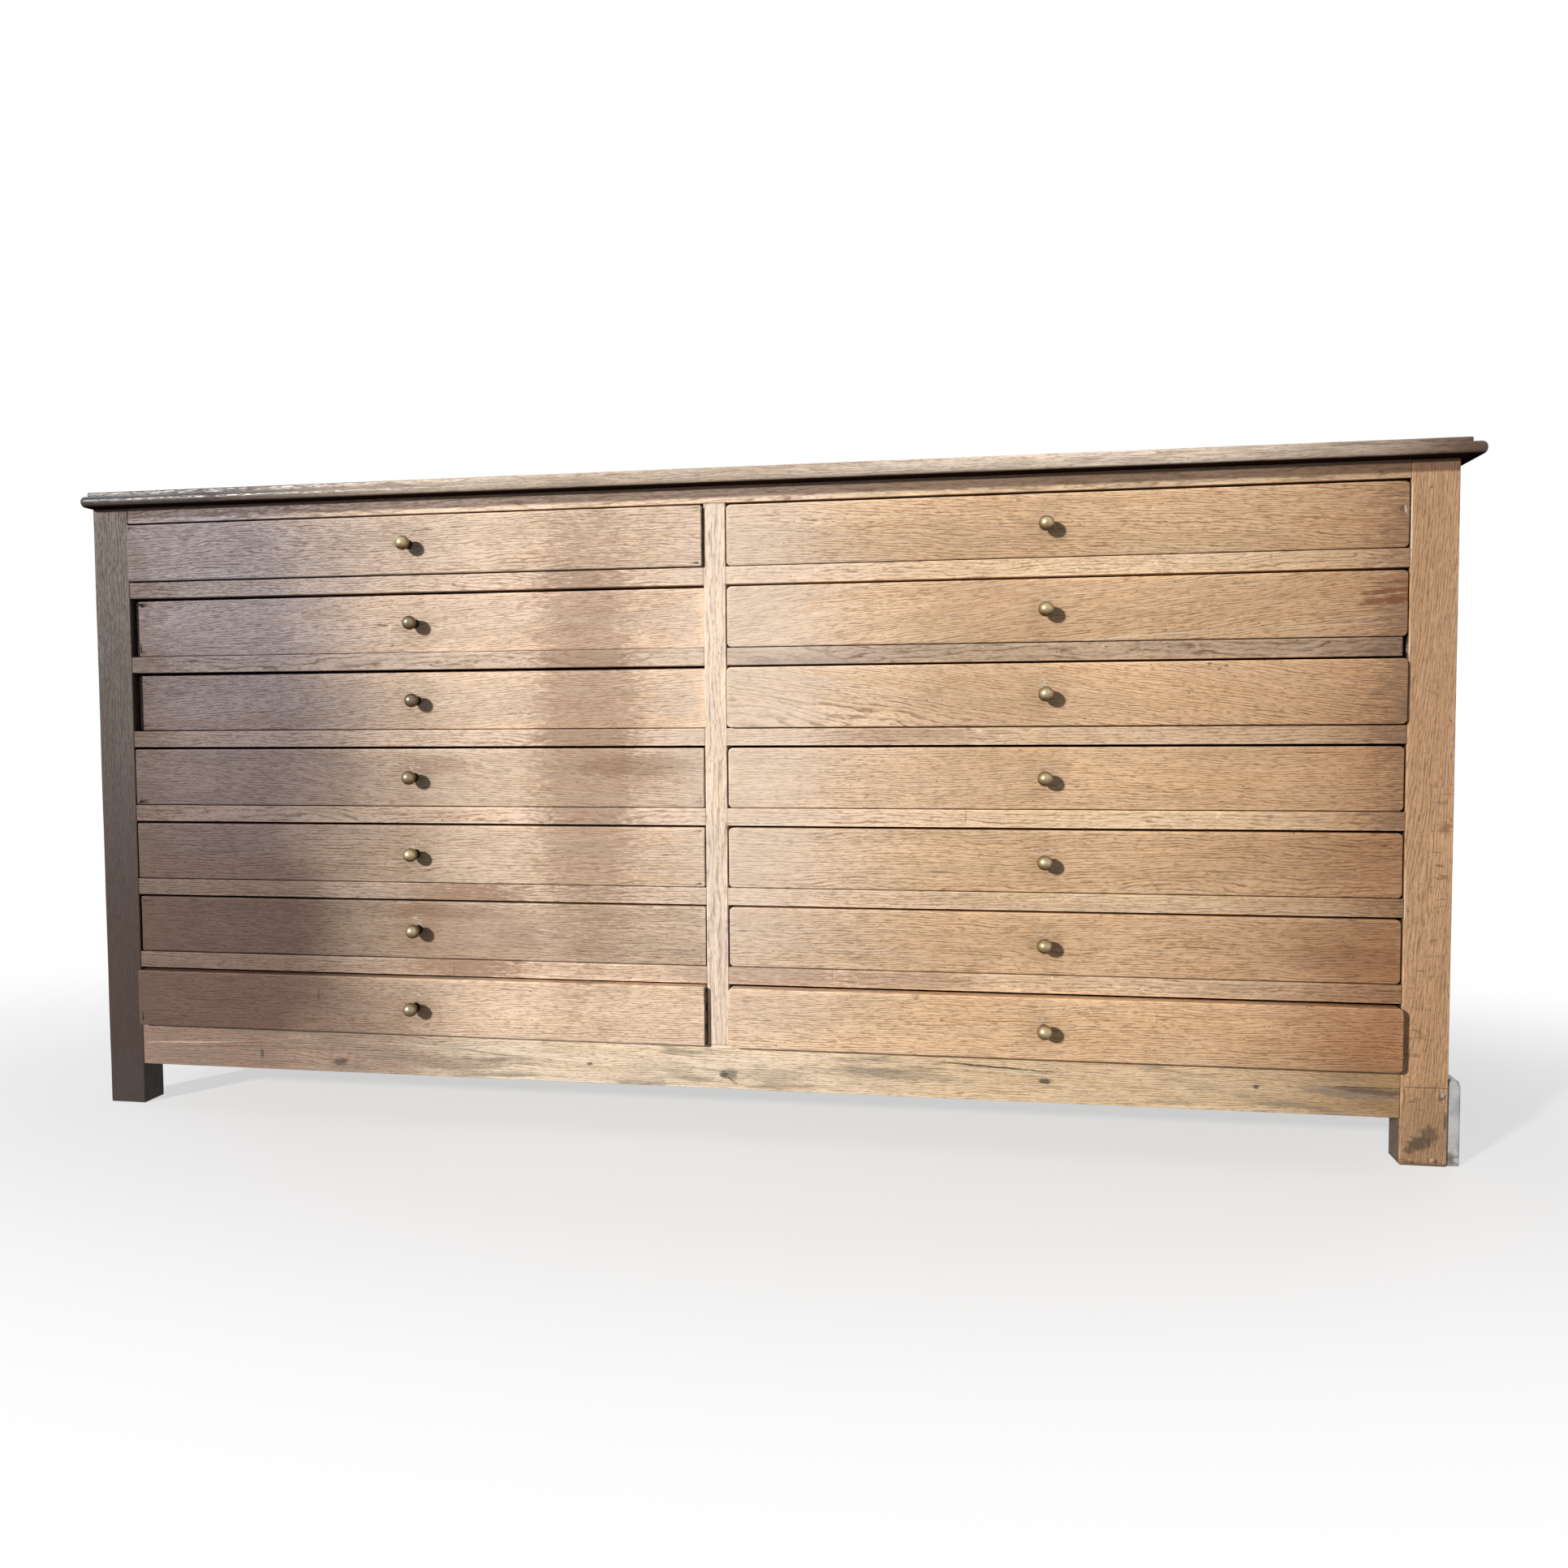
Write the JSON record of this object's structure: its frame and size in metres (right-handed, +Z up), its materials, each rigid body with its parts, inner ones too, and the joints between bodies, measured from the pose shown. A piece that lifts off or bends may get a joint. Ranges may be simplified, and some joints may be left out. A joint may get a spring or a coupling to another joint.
{
  "type": "type case cabinet",
  "caption": "Low, wide oak cabinet with two columns of shallow full-width drawers on ball knobs, a framed carcass on short feet and a moulded top.",
  "frame": {"origin": "on the floor under the middle of the object's bounding box", "axes": "+Z up, +X along the front to the viewer's right as the drawers are faced, +Y from the front to the back"},
  "size_m": [1.873, 0.6188, 0.8905],
  "materials": {
    "oak_top": "greyed, waxed oak with a worn moulded edge",
    "oak_stile_dark": "dark oiled oak, open pores",
    "oak_stile_tan": "tan oak, open pores",
    "oak_frame": "oiled oak rails with ray flecks",
    "oak_pale": "pale worn oak with grey-blue stains, cracks and knots",
    "oak_front": "aged oak, open pores and worn pale arrises",
    "oak_side": "oiled oak frame and panels",
    "inner_wood": "sawn and planed softwood, unfinished",
    "drawer_wood": "planed oak, unfinished",
    "brass": "turned and aged, satin",
    "painted_wood": "chipped off-white gloss paint over grey"
  },
  "bodies": {
    "carcass": {"top": "oak_top", "left_front_stile": "oak_stile_dark", "right_front_stile": "oak_stile_tan", "centre_stile": "oak_frame", "top_rail": "oak_frame", "bottom_rail": "oak_pale", "left_drawer_rails": "oak_frame", "right_drawer_rails": "oak_frame", "side_panels": "oak_side", "side_rails": "oak_side", "rear_posts": "oak_side", "back_rails": "inner_wood", "back_muntin": "inner_wood", "back_panels": "inner_wood", "centre_partition": "inner_wood", "right_skirting": "painted_wood", "drawer_runners": "inner_wood", "drawer_guides": "inner_wood"},
    "drawer_left_1": {"drawer_left_1_front": "oak_front", "drawer_left_1_tray": "drawer_wood", "drawer_left_1_knob": "brass"},
    "drawer_left_2": {"drawer_left_2_front": "oak_front", "drawer_left_2_tray": "drawer_wood", "drawer_left_2_knob": "brass"},
    "drawer_left_3": {"drawer_left_3_front": "oak_front", "drawer_left_3_tray": "drawer_wood", "drawer_left_3_knob": "brass"},
    "drawer_left_4": {"drawer_left_4_front": "oak_front", "drawer_left_4_tray": "drawer_wood", "drawer_left_4_knob": "brass"},
    "drawer_left_5": {"drawer_left_5_front": "oak_front", "drawer_left_5_tray": "drawer_wood", "drawer_left_5_knob": "brass"},
    "drawer_left_6": {"drawer_left_6_front": "oak_front", "drawer_left_6_tray": "drawer_wood", "drawer_left_6_knob": "brass"},
    "drawer_left_7": {"drawer_left_7_front": "oak_front", "drawer_left_7_tray": "drawer_wood", "drawer_left_7_knob": "brass"},
    "drawer_right_1": {"drawer_right_1_front": "oak_front", "drawer_right_1_tray": "drawer_wood", "drawer_right_1_knob": "brass"},
    "drawer_right_2": {"drawer_right_2_front": "oak_front", "drawer_right_2_tray": "drawer_wood", "drawer_right_2_knob": "brass"},
    "drawer_right_3": {"drawer_right_3_front": "oak_front", "drawer_right_3_tray": "drawer_wood", "drawer_right_3_knob": "brass"},
    "drawer_right_4": {"drawer_right_4_front": "oak_front", "drawer_right_4_tray": "drawer_wood", "drawer_right_4_knob": "brass"},
    "drawer_right_5": {"drawer_right_5_front": "oak_front", "drawer_right_5_tray": "drawer_wood", "drawer_right_5_knob": "brass"},
    "drawer_right_6": {"drawer_right_6_front": "oak_front", "drawer_right_6_tray": "drawer_wood", "drawer_right_6_knob": "brass"},
    "drawer_right_7": {"drawer_right_7_front": "oak_front", "drawer_right_7_tray": "drawer_wood", "drawer_right_7_knob": "brass"}
  },
  "joints": [
    {"name": "drawer_left_1_slide", "type": "slide", "parent": "carcass", "child": "drawer_left_1", "axis": [0, -1, 0], "range_m": [-0.02, 0.394]},
    {"name": "drawer_left_2_slide", "type": "slide", "parent": "carcass", "child": "drawer_left_2", "axis": [0, -1, 0], "range_m": [-0.004, 0.41]},
    {"name": "drawer_left_3_slide", "type": "slide", "parent": "carcass", "child": "drawer_left_3", "axis": [0, -1, 0], "range_m": [-0.002, 0.412]},
    {"name": "drawer_left_4_slide", "type": "slide", "parent": "carcass", "child": "drawer_left_4", "axis": [0, -1, 0], "range_m": [-0.0146, 0.3994]},
    {"name": "drawer_left_5_slide", "type": "slide", "parent": "carcass", "child": "drawer_left_5", "axis": [0, -1, 0], "range_m": [-0.0144, 0.3996]},
    {"name": "drawer_left_6_slide", "type": "slide", "parent": "carcass", "child": "drawer_left_6", "axis": [0, -1, 0], "range_m": [-0.012, 0.402]},
    {"name": "drawer_left_7_slide", "type": "slide", "parent": "carcass", "child": "drawer_left_7", "axis": [0, -1, 0], "range_m": [-0.024, 0.39]},
    {"name": "drawer_right_1_slide", "type": "slide", "parent": "carcass", "child": "drawer_right_1", "axis": [0, -1, 0], "range_m": [-0.0148, 0.3992]},
    {"name": "drawer_right_2_slide", "type": "slide", "parent": "carcass", "child": "drawer_right_2", "axis": [0, -1, 0], "range_m": [-0.0143, 0.3997]},
    {"name": "drawer_right_3_slide", "type": "slide", "parent": "carcass", "child": "drawer_right_3", "axis": [0, -1, 0], "range_m": [-0.02, 0.394]},
    {"name": "drawer_right_4_slide", "type": "slide", "parent": "carcass", "child": "drawer_right_4", "axis": [0, -1, 0], "range_m": [-0.012, 0.402]},
    {"name": "drawer_right_5_slide", "type": "slide", "parent": "carcass", "child": "drawer_right_5", "axis": [0, -1, 0], "range_m": [-0.013, 0.401]},
    {"name": "drawer_right_6_slide", "type": "slide", "parent": "carcass", "child": "drawer_right_6", "axis": [0, -1, 0], "range_m": [-0.012, 0.402]},
    {"name": "drawer_right_7_slide", "type": "slide", "parent": "carcass", "child": "drawer_right_7", "axis": [0, -1, 0], "range_m": [-0.028, 0.386]}
  ]
}
